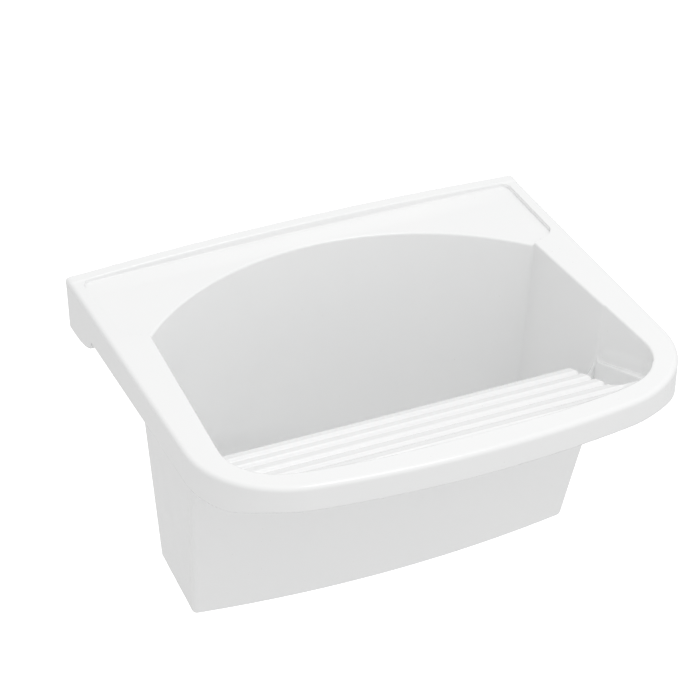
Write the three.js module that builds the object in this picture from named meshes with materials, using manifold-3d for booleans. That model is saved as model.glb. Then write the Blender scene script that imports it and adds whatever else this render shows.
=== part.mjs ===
// Wall-hung utility laundry sink in glazed vitreous china, with a sloped washboard, a soap well,
// a plug waste and two wall fixings.
//
// Millimetres, +Z up. X runs along the wall, +Y points into the wall and -Y towards the user.
// The origin is on the wall face, in the middle of the sink, at the level of the rim's top.

import * as THREE from 'three';
import { mergeVertices } from 'three/addons/utils/BufferGeometryUtils.js';
import Module from 'manifold-3d';

// ---------------------------------------------------------------- driving dimensions

const GAP = 0.3; // clearance between pieces that seat on each other

// rim and apron
const RIM_REAR_WIDTH = 600;
const RIM_DEPTH = 530; // wall to the front of the apron
const RIM_SIDE_FLARE = 0.011; // sideways growth per mm towards the front
const RIM_CORNER_RADIUS = 130;
const RIM_FRONT_RADIUS = 1264; // the bowed front edge
const RIM_REAR_CORNER_RADIUS = 5;
const RIM_EDGE_RADIUS = 6;
const DECK_THICKNESS = 16;
const SKIRT_THICKNESS = 13;
const SKIRT_DRAFT = 0.03;
const SIDE_APRON_HEIGHT = 45.5;
const FRONT_APRON_HEIGHT = 35;
const APRON_RISE_START = 455; // where the apron's lower edge starts to rise, from the wall
const APRON_RISE_END = 505;

// hanging beam along the wall
const BEAM_DEPTH = 71; // below the rim's top
const BEAM_REACH = 84; // how far its curved foot runs forward
const BEAM_FOOT_RADIUS = 7;
const BEAM_WALL = 15;

// back ledge and the shallow deck recess in front of it
const LEDGE_CROWN = 9.5; // how much the back ledge rises in its middle
const LEDGE_WIDTH = 15;
const RECESS_DEPTH = 4.5;
const RECESS_HALF_WIDTH = 285;
const RECESS_FRONT = 145; // from the wall, at the sides
const RECESS_CORNER_RADIUS = 12;

// opening
const OPENING_REAR_HALF_WIDTH = 251.5;
const OPENING_REAR_CORNER = 158; // from the wall
const OPENING_ARCH_APEX = 45; // from the wall, where the arched back comes closest
const OPENING_SIDE_FLARE = 0.064;
const OPENING_CORNER_RADIUS = 82;
const OPENING_REAR_CORNER_RADIUS = 6;
const OPENING_FRONT_RIM = 30; // rim width in the middle of the front
const OPENING_EDGE_RADIUS = 3;

// bowl
const BOWL_HEIGHT = 343; // rim top to the underside of the bowl
const BOWL_FRONT_WALL = 14;
const BOWL_SIDE_WALL = 16.5;
const BOWL_REAR_WALL = 24;
const BOWL_FLOOR = 14;
const BOWL_FLOOR_FALL = 4; // from the floor's edge to the waste
const BOWL_SIDE_DRAFT = 0.076;
const BOWL_REAR_DRAFT = 0.053;
const BOWL_FRONT_LEAN = 0.252;
const BOWL_FRONT_HOLLOW = 16; // extra run of the front wall close under the washboard
const BOWL_FRONT_HOLLOW_DROP = 40; // how quickly that run dies out
const BOWL_FRONT_TOP = 334; // inner front wall under the washboard, from the wall
const BOWL_FRONT_BULGE = 21; // bow of the front wall at the bottom
const BOWL_FOOT_RADIUS = 6;
const BOWL_FLOOR_RADIUS = 32;
const BOWL_OUTER_CORNER_RADIUS = 6;
const BOWL_INNER_CORNER_RADIUS = 9;
const INSIDE = { front: 0, side: 0, rear: 0 };
const OUTSIDE = { front: BOWL_FRONT_WALL, side: BOWL_SIDE_WALL, rear: BOWL_REAR_WALL };

// washboard
const WASHBOARD_SLOPE = 0.375; // fall per mm towards the bowl
const WASHBOARD_FRONT_LEVEL = 2; // below the rim, at the front of the opening
const WASHBOARD_THICKNESS = 14;
const RIDGE_PITCH = 31.8;
const RIDGE_FIRST = 347; // rear ridge, from the wall
const RIDGE_HEIGHT = 3;
const RIDGE_LEFT_END = -238;
const RIDGE_RIGHT_END = 212;
const WASHBOARD_REAR_RADIUS = 5;

// soap well at the right end of the washboard
const WELL_WIDTH = 50;
const WELL_DEPTH = 40; // below the washboard
const WELL_FRONT = 446; // from the wall
const WELL_WALL = 12;
const WELL_LEDGE_DROP = 16; // narrow ledge beside the well, below the washboard

// waste
const WASTE_FROM_WALL = 165;
const WASTE_HOLE_RADIUS = 23;
const WASTE_SEAT_RADIUS = 37;
const WASTE_SEAT_DEPTH = 4;
const FLANGE_RADIUS = 35;
const FLANGE_THICKNESS = 2;
const FLANGE_GASKET_THICKNESS = 2;
const WASTE_TUBE_RADIUS = 21.5;
const WASTE_TUBE_WALL = 2.5;
const WASTE_TUBE_BELOW_BOWL = 30;
const PLUG_SEAT_RADIUS = 21;
const PLUG_SEAT_DEPTH = 9;
const PLUG_SEAT_TAPER = 2;
const GRATE_LEDGE_WIDTH = 2.5;
const GRATE_DEPTH = 22; // grate top below the flange's top
const GRATE_THICKNESS = 2;
const GRATE_HOLES = 6;
const GRATE_HOLE_RADIUS = 3.5;
const GRATE_HOLE_CIRCLE = 10.5;
const UNDER_GASKET_THICKNESS = 3;
const UNDER_GASKET_RADIUS = 34;
const SLIP_WASHER_THICKNESS = 1.5;
const BACK_NUT_HEIGHT = 10;
const BACK_NUT_RADIUS = 33; // across corners
const TAIL_RADIUS = 16;
const TAIL_WALL = 1.5;
const TAIL_BELOW_BOWL = 62;
const TAIL_INSERTION = 8; // how far the tail pipe reaches up into the waste tube
const TAIL_SEAL_THICKNESS = 3;
const TAIL_NUT_RADIUS = 28; // across corners
const TAIL_NUT_GRIP = 9; // thread engaged on the waste tube
const TAIL_NUT_LIP = 3;

// plug
const PLUG_HEIGHT = 10;
const PLUG_RIM_RADIUS = 24;
const PLUG_RIM_THICKNESS = 3;
const STAPLE_PLATE_RADIUS = 7;
const STAPLE_PLATE_THICKNESS = 1;
const STAPLE_RADIUS = 3.4;
const STAPLE_WIRE_RADIUS = 1;
const RING_RADIUS = 10;
const RING_WIRE_RADIUS = 1.2;

// wall fixings
const FIXING_INSET = 70; // from each end of the rim
const FIXING_DROP = 36; // below the rim's top
const FIXING_HOLE_RADIUS = 7;
const SCREW_RADIUS = 4;
const SCREW_BEHIND_WALL_FACE = 44;
const SCREW_TIP = 8;
const SCREW_HEAD_RADIUS = 7.5; // across corners
const SCREW_HEAD_HEIGHT = 5.5;
const BUSH_FLANGE_RADIUS = 11;
const BUSH_FLANGE_THICKNESS = 1.5;
const WASHER_RADIUS = 11;
const WASHER_THICKNESS = 1.6;
const CAP_WALL = 1.2;
const CAP_HEIGHT = 11;

// facets
const RIM_FACETS = 88;
const OPENING_FACETS = 88;
const BOWL_FACETS = 72;
const ROUND_FACETS = 28;
const SMALL_FACETS = 20;
const WIRE_FACETS = 8;

// ---------------------------------------------------------------- worked-out places

const wasm = await Module();
wasm.setup();

const frontCentreY = RIM_FRONT_RADIUS - RIM_DEPTH;
const archRise = OPENING_REAR_CORNER - OPENING_ARCH_APEX;
const archRadius = (OPENING_REAR_HALF_WIDTH ** 2 + archRise ** 2) / (2 * archRise);
const archCentreY = -OPENING_ARCH_APEX - archRadius;
const openingFront = RIM_DEPTH - OPENING_FRONT_RIM;
const bowlFloorZ = -BOWL_HEIGHT + BOWL_FLOOR;
const wasteSeatZ = bowlFloorZ - WASTE_SEAT_DEPTH;
const flangeTopZ = wasteSeatZ + FLANGE_GASKET_THICKNESS + FLANGE_THICKNESS + 2 * GAP;
const fixingX = RIM_REAR_WIDTH / 2 - FIXING_INSET;
const washboardZ = (y) => -WASHBOARD_FRONT_LEVEL - WASHBOARD_SLOPE * (y + openingFront);
const centre = new THREE.Vector2(0, -WASTE_FROM_WALL);

// ---------------------------------------------------------------- solids

function solidOf(geometry) {
  const clean = geometry.index ? geometry : mergeVertices(stripped(geometry), 1e-4);
  return new wasm.Manifold(new wasm.Mesh({
    numProp: 3,
    vertProperties: new Float32Array(clean.attributes.position.array),
    triVerts: new Uint32Array(clean.index.array),
  }));
}

function stripped(geometry) {
  const bare = geometry.index ? geometry.toNonIndexed() : geometry;
  bare.deleteAttribute('normal');
  bare.deleteAttribute('uv');
  return bare;
}

function merged(geometry) {
  return mergeVertices(stripped(geometry), 1e-4);
}

function geometryOf(solid) {
  const mesh = solid.getMesh();
  const geometry = new THREE.BufferGeometry();
  geometry.setAttribute('position', new THREE.BufferAttribute(mesh.vertProperties, 3));
  geometry.setIndex(new THREE.BufferAttribute(mesh.triVerts, 1));
  return geometry;
}

// closed skin over a stack of rings, lowest first, each with the same number of points
function loft(rings, bottomCentre, topCentre) {
  const count = rings[0].length;
  const points = rings.flat().concat([bottomCentre, topCentre]);
  const bottom = rings.length * count;
  const top = bottom + 1;
  const index = [];
  for (let side = 0; side < count; side += 1) {
    const next = (side + 1) % count;
    for (let level = 0; level < rings.length - 1; level += 1) {
      const low = level * count;
      const high = low + count;
      index.push(low + side, low + next, high + next, low + side, high + next, high + side);
    }
    index.push(bottom, next, side);
    index.push(top, top - 1 - count + side, top - 1 - count + next);
  }
  const geometry = new THREE.BufferGeometry();
  geometry.setAttribute('position', new THREE.Float32BufferAttribute(points.flatMap((p) => p.toArray()), 3));
  geometry.setIndex(index);
  return solidOf(geometry);
}

// a (y, z) outline pushed along X
function prismAlongX(outline, fromX, toX) {
  const shape = new THREE.Shape(outline.map(([y, z]) => new THREE.Vector2(y, z)));
  const geometry = new THREE.ExtrudeGeometry(shape, { depth: toX - fromX, bevelEnabled: false });
  const turn = new THREE.Matrix4().set(0, 0, 1, fromX, 1, 0, 0, 0, 0, 1, 0, 0, 0, 0, 0, 1);
  geometry.applyMatrix4(turn);
  return solidOf(merged(geometry));
}

// a plan outline pushed along Z
function prismAlongZ(outline, fromZ, toZ) {
  const shape = new THREE.Shape(outline);
  const geometry = new THREE.ExtrudeGeometry(shape, { depth: toZ - fromZ, bevelEnabled: false });
  geometry.translate(0, 0, fromZ);
  return solidOf(merged(geometry));
}

// a turned piece about Z from (radius, z) points that go up the outside and close on themselves
function turned(profile, facets = ROUND_FACETS) {
  const points = profile.map(([radius, z]) => new THREE.Vector2(radius, z));
  const closes = profile[0][0] > 0;
  if (closes) {
    points.push(points[0].clone());
  }
  const geometry = new THREE.LatheGeometry(points, facets);
  geometry.rotateX(Math.PI / 2);
  return merged(geometry);
}

function hexagonPrism(cornerRadius, fromZ, toZ) {
  const corners = [0, 1, 2, 3, 4, 5].map((k) => {
    const angle = (k * Math.PI) / 3;
    return new THREE.Vector2(cornerRadius * Math.cos(angle), cornerRadius * Math.sin(angle));
  });
  return prismAlongZ(corners, fromZ, toZ);
}

// ---------------------------------------------------------------- plan outlines

// joins two signed distances, negative inside both, with a rounded corner;
// lean is the cosine of the angle between the two outlines' outward normals
function roundedBoth(a, b, radius, lean = 0) {
  const alongA = a + radius;
  const alongB = b + radius;
  if (alongA <= lean * alongB || alongB <= lean * alongA) {
    return Math.max(a, b);
  }
  const square = alongA ** 2 + alongB ** 2 - 2 * lean * alongA * alongB;
  return Math.sqrt(square / (1 - lean ** 2)) - radius;
}

// signed distance to a circle centred on the middle plane, and its normal's sideways share
function roundOutline(x, y, centreY, radius) {
  const distance = Math.hypot(x, y - centreY);
  return [distance - radius, Math.abs(x) / distance];
}

function rimPlan(x, y) {
  const side = Math.abs(x) - RIM_REAR_WIDTH / 2 + RIM_SIDE_FLARE * y;
  const [front, lean] = roundOutline(x, y, frontCentreY, RIM_FRONT_RADIUS);
  const body = roundedBoth(side, front, RIM_CORNER_RADIUS, lean);
  return roundedBoth(body, y, RIM_REAR_CORNER_RADIUS);
}

function openingPlan(x, y) {
  const flare = OPENING_SIDE_FLARE * (-y - OPENING_REAR_CORNER);
  const side = Math.abs(x) - OPENING_REAR_HALF_WIDTH - flare;
  const [front, frontLean] = roundOutline(x, y, frontCentreY, RIM_FRONT_RADIUS - OPENING_FRONT_RIM);
  const [arch, archLean] = roundOutline(x, y, archCentreY, archRadius);
  const body = roundedBoth(side, front, OPENING_CORNER_RADIUS, frontLean);
  return roundedBoth(body, arch, OPENING_REAR_CORNER_RADIUS, archLean);
}

// the deep bowl at a depth below the rim, grown outwards by the walls' thicknesses
function bowlPlan(depth, walls, cornerRadius) {
  const below = Math.max(depth + washboardZ(-BOWL_FRONT_TOP), 0);
  const bulge = (BOWL_FRONT_BULGE * Math.max(depth, 1)) / BOWL_HEIGHT;
  const bulgeRadius = (OPENING_REAR_HALF_WIDTH ** 2 + bulge ** 2) / (2 * bulge);
  const hollow = BOWL_FRONT_HOLLOW * (1 - Math.exp(-below / BOWL_FRONT_HOLLOW_DROP));
  const frontY = -BOWL_FRONT_TOP + BOWL_FRONT_LEAN * below + hollow - walls.front;
  return (x, y) => {
    const flare = OPENING_SIDE_FLARE * (-y - OPENING_REAR_CORNER);
    const side = Math.abs(x) - OPENING_REAR_HALF_WIDTH - flare + BOWL_SIDE_DRAFT * depth - walls.side;
    const [front, frontLean] = roundOutline(x, y, frontY - bulge + bulgeRadius, bulgeRadius);
    const archNow = archRadius - BOWL_REAR_DRAFT * depth + walls.rear;
    const [arch, archLean] = roundOutline(x, y, archCentreY, archNow);
    const body = roundedBoth(side, front, cornerRadius, frontLean);
    return roundedBoth(body, arch, cornerRadius, archLean);
  };
}

// distance from the centre to the outline in one direction
function reach(plan, angle, inset) {
  const dx = Math.cos(angle);
  const dy = Math.sin(angle);
  let near = 0;
  let far = 2 * RIM_DEPTH;
  for (let step = 0; step < 40; step += 1) {
    const middle = (near + far) / 2;
    const inside = plan(centre.x + dx * middle, centre.y + dy * middle) < -inset;
    near = inside ? middle : near;
    far = inside ? far : middle;
  }
  return near;
}

// directions from the centre, closer together where the outline turns
function directions(plan, count) {
  const fine = 1440;
  const turnWeight = 90;
  const angles = Array.from({ length: fine }, (_, k) => (2 * Math.PI * (k + 0.5)) / fine);
  const points = angles.map((angle) => {
    const radius = reach(plan, angle, 0);
    return new THREE.Vector2(centre.x + radius * Math.cos(angle), centre.y + radius * Math.sin(angle));
  });
  const along = [0];
  for (let k = 0; k < fine; k += 1) {
    const here = points[k];
    const before = here.clone().sub(points[(k + fine - 1) % fine]);
    const after = points[(k + 1) % fine].clone().sub(here);
    const turn = Math.abs(Math.atan2(before.cross(after), before.dot(after)));
    along.push(along[k] + after.length() + turnWeight * turn);
  }
  const chosen = [];
  let k = 0;
  for (let wanted = 0; wanted < count; wanted += 1) {
    const target = (along[fine] * (wanted + 0.5)) / count;
    while (along[k + 1] < target) {
      k += 1;
    }
    chosen.push(angles[k]);
  }
  return chosen;
}

// one level of a skin: the outline drawn in by an inset, at a height
function ring(plan, count, inset, z) {
  return directions(plan, count).map((angle) => {
    const radius = reach(plan, angle, inset);
    return new THREE.Vector3(centre.x + radius * Math.cos(angle), centre.y + radius * Math.sin(angle), z);
  });
}

function above(z) {
  return new THREE.Vector3(centre.x, centre.y, z);
}

// ---------------------------------------------------------------- basin

const lowestZ = -BOWL_HEIGHT - BOWL_FLOOR; // below the whole bowl
const clearAbove = LEDGE_CROWN + GAP; // above the back ledge
const belowBoard = 2 * BEAM_DEPTH; // deeper than the washboard and the soap well

// steps of a quarter round of the given radius: [how far in, how far down]
function quarterRound(radius, steps) {
  return Array.from({ length: steps + 1 }, (_, k) => {
    const angle = (k * Math.PI) / 2 / steps;
    return [radius * (1 - Math.sin(angle)), radius * (1 - Math.cos(angle))];
  });
}

function apronUnderside(y) {
  const share = THREE.MathUtils.smoothstep(-y, APRON_RISE_START, APRON_RISE_END);
  return -THREE.MathUtils.lerp(SIDE_APRON_HEIGHT, FRONT_APRON_HEIGHT, share);
}

// side view of the apron and of the hanging beam's curved foot, up to a level above the rim
function apronProfile() {
  const outline = [[0, LEDGE_CROWN]];
  for (const [inwards, up] of quarterRound(BEAM_FOOT_RADIUS, 3).reverse()) {
    outline.push([-inwards, -BEAM_DEPTH + up]);
  }
  const footSteps = 7;
  const footFlat = 2 * BEAM_FOOT_RADIUS;
  for (let k = 0; k <= footSteps; k += 1) {
    const angle = (k / footSteps) * (Math.PI / 2);
    const y = -footFlat - (BEAM_REACH - footFlat) * Math.sin(angle);
    const z = -SIDE_APRON_HEIGHT - (BEAM_DEPTH - SIDE_APRON_HEIGHT) * Math.cos(angle);
    outline.push([y, z]);
  }
  const riseSteps = 8;
  for (let k = 0; k <= riseSteps; k += 1) {
    const y = -THREE.MathUtils.lerp(APRON_RISE_START, APRON_RISE_END, k / riseSteps);
    outline.push([y, apronUnderside(y)]);
  }
  const beyondFront = -RIM_DEPTH - SKIRT_THICKNESS;
  outline.push([beyondFront, -FRONT_APRON_HEIGHT], [beyondFront, LEDGE_CROWN]);
  return outline.reverse();
}

function rimShell() {
  const levels = [ring(rimPlan, RIM_FACETS, SKIRT_DRAFT * (BEAM_DEPTH + 5), -BEAM_DEPTH - 5)];
  levels.push(ring(rimPlan, RIM_FACETS, 0, -RIM_EDGE_RADIUS));
  for (const [inwards, down] of quarterRound(RIM_EDGE_RADIUS, 4).reverse().slice(1)) {
    levels.push(ring(rimPlan, RIM_FACETS, inwards, -down));
  }
  const block = loft(levels, above(-BEAM_DEPTH - 5), above(0));
  const hollowPlan = (depth) => (x, y) => {
    const skirt = rimPlan(x, y) + SKIRT_THICKNESS + SKIRT_DRAFT * depth;
    return Math.max(skirt, y + BEAM_WALL);
  };
  const hollowFoot = BEAM_DEPTH + 15;
  const hollow = loft([
    ring(hollowPlan(hollowFoot), RIM_FACETS, 0, -hollowFoot),
    ring(hollowPlan(DECK_THICKNESS), RIM_FACETS, 0, -DECK_THICKNESS),
  ], above(-hollowFoot), above(-DECK_THICKNESS));
  const sideView = prismAlongX(apronProfile(), -RIM_REAR_WIDTH, RIM_REAR_WIDTH);
  return block.intersect(sideView).subtract(hollow);
}

// the crowned strip along the wall
function backLedge() {
  const steps = 24;
  const halfWidth = RIM_REAR_WIDTH / 2 - RIM_EDGE_RADIUS;
  const top = Array.from({ length: steps + 1 }, (_, k) => {
    const x = THREE.MathUtils.lerp(halfWidth, -halfWidth, k / steps);
    return new THREE.Vector2(x, LEDGE_CROWN * (1 - (x / halfWidth) ** 2) + 0.01);
  });
  const low = -RECESS_DEPTH - 2;
  const foot = [new THREE.Vector2(-halfWidth, low), new THREE.Vector2(halfWidth, low)];
  const shape = new THREE.Shape([...foot, ...top]);
  const geometry = new THREE.ExtrudeGeometry(shape, { depth: LEDGE_WIDTH, bevelEnabled: false });
  geometry.rotateX(Math.PI / 2);
  return solidOf(merged(geometry));
}

function deckRecess() {
  const sideX = RECESS_HALF_WIDTH;
  const corner = RECESS_CORNER_RADIUS;
  const outline = new THREE.Shape();
  outline.moveTo(-sideX, -RECESS_FRONT);
  outline.lineTo(-OPENING_REAR_HALF_WIDTH + OPENING_EDGE_RADIUS, -OPENING_REAR_CORNER + OPENING_EDGE_RADIUS);
  outline.lineTo(OPENING_REAR_HALF_WIDTH - OPENING_EDGE_RADIUS, -OPENING_REAR_CORNER + OPENING_EDGE_RADIUS);
  outline.lineTo(sideX, -RECESS_FRONT);
  outline.lineTo(sideX, -LEDGE_WIDTH - corner);
  outline.quadraticCurveTo(sideX, -LEDGE_WIDTH, sideX - corner, -LEDGE_WIDTH);
  outline.lineTo(-sideX + corner, -LEDGE_WIDTH);
  outline.quadraticCurveTo(-sideX, -LEDGE_WIDTH, -sideX, -LEDGE_WIDTH - corner);
  return prismAlongZ(outline.getPoints(4), -RECESS_DEPTH, clearAbove);
}

// depths below the rim at which the bowl's walls have a ring of their own
const wallDepths = [0.8, 0.6, 0.42, 0.3, 0.19].map((share) => share * BOWL_HEIGHT);

function bowlOuter() {
  const topDepth = DECK_THICKNESS / 2;
  const plan = (depth) => bowlPlan(depth, OUTSIDE, BOWL_OUTER_CORNER_RADIUS);
  const levels = quarterRound(BOWL_FOOT_RADIUS, 3).reverse().map(([inwards, up]) => (
    ring(plan(BOWL_HEIGHT), BOWL_FACETS, inwards, -BOWL_HEIGHT + up)
  ));
  for (const depth of [...wallDepths, topDepth]) {
    levels.push(ring(plan(depth), BOWL_FACETS, 0, -depth));
  }
  levels.sort((a, b) => a[0].z - b[0].z);
  return loft(levels, above(-BOWL_HEIGHT), above(-topDepth));
}

function bowlCavity() {
  const topDepth = OPENING_EDGE_RADIUS * 3;
  const plan = (depth) => bowlPlan(depth, INSIDE, BOWL_INNER_CORNER_RADIUS);
  const levels = quarterRound(BOWL_FLOOR_RADIUS, 5).map(([inwards, up]) => (
    ring(plan(-bowlFloorZ - up), BOWL_FACETS, inwards, bowlFloorZ + up)
  ));
  for (const depth of [...wallDepths, topDepth]) {
    levels.push(ring(plan(depth), BOWL_FACETS, 0, -depth));
  }
  levels.sort((a, b) => a[0].z - b[0].z);
  return loft(levels, above(bowlFloorZ - BOWL_FLOOR_FALL), above(-topDepth));
}

// the washboard's upper outline in side view, from the bowl to the front, with or without ridges
function washboardTop(withRidges) {
  const rearY = -BOWL_FRONT_TOP;
  const lastY = -openingFront + WASHBOARD_REAR_RADIUS;
  const depthBelowCrests = (y) => {
    const phase = ((-y - RIDGE_FIRST) / RIDGE_PITCH) * 2 * Math.PI;
    return withRidges ? (RIDGE_HEIGHT / 2) * (1 - Math.cos(phase)) : 0;
  };
  const points = quarterRound(WASHBOARD_REAR_RADIUS, 3).reverse().map(([inwards, down]) => {
    const y = rearY - inwards;
    return [y, washboardZ(y) - down];
  });
  const stepY = RIDGE_PITCH / 6;
  for (let y = -RIDGE_FIRST; y > lastY; y -= withRidges ? stepY : RIDGE_PITCH) {
    points.push([y, washboardZ(y) - depthBelowCrests(y)]);
  }
  const frontZ = -WASHBOARD_FRONT_LEVEL;
  points.push([-openingFront, frontZ], [-openingFront - 2 * OPENING_EDGE_RADIUS, frontZ]);
  return points;
}

function openingCut() {
  const plan = openingPlan;
  const levels = [ring(plan, OPENING_FACETS, BOWL_SIDE_DRAFT * belowBoard, -belowBoard)];
  for (const [outwards, down] of quarterRound(OPENING_EDGE_RADIUS, 3).reverse()) {
    const draft = BOWL_SIDE_DRAFT * down;
    levels.push(ring(plan, OPENING_FACETS, draft - outwards, -down));
  }
  levels.push(ring(plan, OPENING_FACETS, -OPENING_EDGE_RADIUS, clearAbove));
  levels.sort((a, b) => a[0].z - b[0].z);
  return loft(levels, above(-belowBoard), above(clearAbove));
}

function washboardCavity(opening) {
  const topZ = 2 * clearAbove;
  const frontY = -openingFront - 2 * OPENING_EDGE_RADIUS;
  const outline = (withRidges) => [
    [0, topZ],
    [frontY, topZ],
    ...washboardTop(withRidges).reverse(),
    [0, washboardZ(-BOWL_FRONT_TOP) - WASHBOARD_REAR_RADIUS],
  ];
  const wide = RIM_REAR_WIDTH / 2;
  const ridged = prismAlongX(outline(true), RIDGE_LEFT_END, RIDGE_RIGHT_END);
  const leftPlain = prismAlongX(outline(false), -wide, RIDGE_LEFT_END);
  const rightPlain = prismAlongX(outline(false), RIDGE_RIGHT_END, wide);
  const space = ridged.add(leftPlain).add(rightPlain);
  return space.intersect(opening);
}

// the soap well runs beside the washboard and opens into the bowl
function wellProfile(growth, depth = WELL_DEPTH) {
  const rearY = -BOWL_FRONT_TOP + BOWL_FRONT_WALL;
  const frontY = -WELL_FRONT - growth;
  const floor = (y) => washboardZ(y) - depth - growth;
  return [
    [rearY, floor(rearY)],
    [rearY, -WASHBOARD_FRONT_LEVEL],
    [frontY, -WASHBOARD_FRONT_LEVEL],
    [frontY, floor(frontY) + WELL_WALL],
    [frontY + WELL_WALL, floor(frontY + WELL_WALL)],
  ];
}

function washboardSlab() {
  const rearY = -BOWL_FRONT_TOP + GAP;
  const frontY = -openingFront - WELL_WALL;
  const under = (y) => Math.min(washboardZ(y) - WASHBOARD_THICKNESS - RIDGE_HEIGHT, -DECK_THICKNESS - 1);
  const middleOfDeck = -DECK_THICKNESS / 2;
  const outline = [
    [frontY, under(frontY)],
    [rearY, under(rearY)],
    [rearY, middleOfDeck],
    [frontY, middleOfDeck],
  ];
  const grown = loft([
    ring(openingPlan, OPENING_FACETS, BOWL_SIDE_DRAFT * belowBoard - WELL_WALL, -belowBoard),
    ring(openingPlan, OPENING_FACETS, -WELL_WALL, middleOfDeck),
  ], above(-belowBoard), above(middleOfDeck));
  const slab = prismAlongX(outline, -RIM_REAR_WIDTH / 2, RIM_REAR_WIDTH / 2);
  const wellRight = RIDGE_RIGHT_END + WELL_WIDTH + WELL_WALL;
  const well = prismAlongX(wellProfile(WELL_WALL), RIDGE_RIGHT_END - WELL_WALL, wellRight);
  const wellBody = well.subtract(prismAlongX([
    [-RIM_DEPTH, middleOfDeck],
    [0, middleOfDeck],
    [0, clearAbove],
    [-RIM_DEPTH, clearAbove],
  ], -RIM_REAR_WIDTH, RIM_REAR_WIDTH));
  return slab.add(wellBody).intersect(grown);
}

function cylinderAt(radius, fromZ, toZ, x, y, facets = ROUND_FACETS) {
  const geometry = turned([[0, fromZ], [radius, fromZ], [radius, toZ], [0, toZ]], facets);
  geometry.translate(x, y, 0);
  return solidOf(geometry);
}

function basinBody() {
  const opening = openingCut();
  const outer = rimShell().add(backLedge()).add(bowlOuter()).add(washboardSlab());
  const wellSpace = prismAlongX(wellProfile(0), RIDGE_RIGHT_END, RIDGE_RIGHT_END + WELL_WIDTH);
  const besideWell = prismAlongX(wellProfile(0, WELL_LEDGE_DROP), RIDGE_RIGHT_END, RIM_REAR_WIDTH / 2);
  let body = outer.subtract(deckRecess()).subtract(bowlCavity());
  body = body.subtract(washboardCavity(opening)).subtract(wellSpace);
  body = body.subtract(besideWell.intersect(opening));
  const seat = cylinderAt(WASTE_SEAT_RADIUS, wasteSeatZ, bowlFloorZ + 20, centre.x, centre.y);
  const hole = cylinderAt(WASTE_HOLE_RADIUS, lowestZ, bowlFloorZ, centre.x, centre.y);
  body = body.subtract(seat).subtract(hole);
  for (const side of [-1, 1]) {
    const bolt = geometryOf(cylinderAt(FIXING_HOLE_RADIUS, -2 * BEAM_WALL, BEAM_WALL, 0, 0, SMALL_FACETS));
    bolt.rotateX(-Math.PI / 2);
    bolt.translate(side * fixingX, 0, -FIXING_DROP);
    body = body.subtract(solidOf(bolt));
  }
  return geometryOf(body);
}

// ---------------------------------------------------------------- materials

function material(colour, roughness, metalness) {
  return new THREE.MeshStandardMaterial({ color: colour, roughness, metalness });
}

const china = material('#f4f5f5', 0.08, 0);
const chrome = material('#d5d8da', 0.12, 1);
const steel = material('#b9bcc0', 0.3, 1);
const rubber = material('#2b2b2d', 0.75, 0);
const whitePlastic = material('#eceded', 0.4, 0);
const nylon = material('#dcdcd6', 0.5, 0);

// ---------------------------------------------------------------- assembly

const sink = new THREE.Group();

function place(parent, name, geometry, finish) {
  const mesh = new THREE.Mesh(geometry, finish);
  mesh.name = name;
  parent.add(mesh);
  return mesh;
}

place(sink, 'basin_body', basinBody(), china);

// waste: every piece is turned about the hole's own axis
const waste = new THREE.Group();
waste.position.set(centre.x, centre.y, 0);
sink.add(waste);

const underside = -BOWL_HEIGHT;
const tubeInner = WASTE_TUBE_RADIUS - WASTE_TUBE_WALL;
const tubeEndZ = underside - WASTE_TUBE_BELOW_BOWL;
const flangeUnderZ = flangeTopZ - FLANGE_THICKNESS;
const grateTopZ = flangeTopZ - GRATE_DEPTH;
const grateUnderZ = grateTopZ - GRATE_THICKNESS;
const ledgeInner = tubeInner - GRATE_LEDGE_WIDTH;
const threadClear = WASTE_TUBE_RADIUS + GAP;

function ringPiece(inner, outer, fromZ, toZ, facets = ROUND_FACETS) {
  return turned([[inner, fromZ], [outer, fromZ], [outer, toZ], [inner, toZ]], facets);
}

const wasteBody = turned([
  [tubeInner, tubeEndZ],
  [WASTE_TUBE_RADIUS, tubeEndZ],
  [WASTE_TUBE_RADIUS, flangeUnderZ],
  [FLANGE_RADIUS, flangeUnderZ],
  [FLANGE_RADIUS, flangeTopZ - FLANGE_THICKNESS / 2],
  [FLANGE_RADIUS - FLANGE_THICKNESS, flangeTopZ],
  [PLUG_SEAT_RADIUS, flangeTopZ],
  [PLUG_SEAT_RADIUS - PLUG_SEAT_TAPER, flangeTopZ - PLUG_SEAT_DEPTH],
  [tubeInner, flangeTopZ - PLUG_SEAT_DEPTH - 1],
  [tubeInner, grateUnderZ - GAP],
  [ledgeInner, grateUnderZ - GAP],
  [ledgeInner, grateUnderZ - GAP - 2],
  [tubeInner, grateUnderZ - GAP - 2 - GRATE_LEDGE_WIDTH],
]);
place(waste, 'waste_body', wasteBody, chrome);

const gasketZ = wasteSeatZ + GAP;
place(
  waste,
  'flange_gasket',
  ringPiece(WASTE_HOLE_RADIUS + 1, FLANGE_RADIUS - 1, gasketZ, flangeUnderZ - GAP),
  rubber,
);

function grate() {
  const outline = new THREE.Shape();
  outline.absarc(0, 0, tubeInner - GAP, 0, 2 * Math.PI, false);
  const holes = Array.from({ length: GRATE_HOLES }, (_, k) => {
    const angle = (2 * Math.PI * k) / GRATE_HOLES;
    return [GRATE_HOLE_CIRCLE * Math.cos(angle), GRATE_HOLE_CIRCLE * Math.sin(angle)];
  });
  for (const [x, y] of [[0, 0], ...holes]) {
    const hole = new THREE.Path();
    hole.absarc(x, y, GRATE_HOLE_RADIUS, 0, 2 * Math.PI, true);
    outline.holes.push(hole);
  }
  const geometry = new THREE.ExtrudeGeometry(outline, {
    depth: GRATE_THICKNESS, bevelEnabled: false, curveSegments: 12,
  });
  geometry.translate(0, 0, grateUnderZ);
  return merged(geometry);
}
place(waste, 'waste_grate', grate(), chrome);

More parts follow.
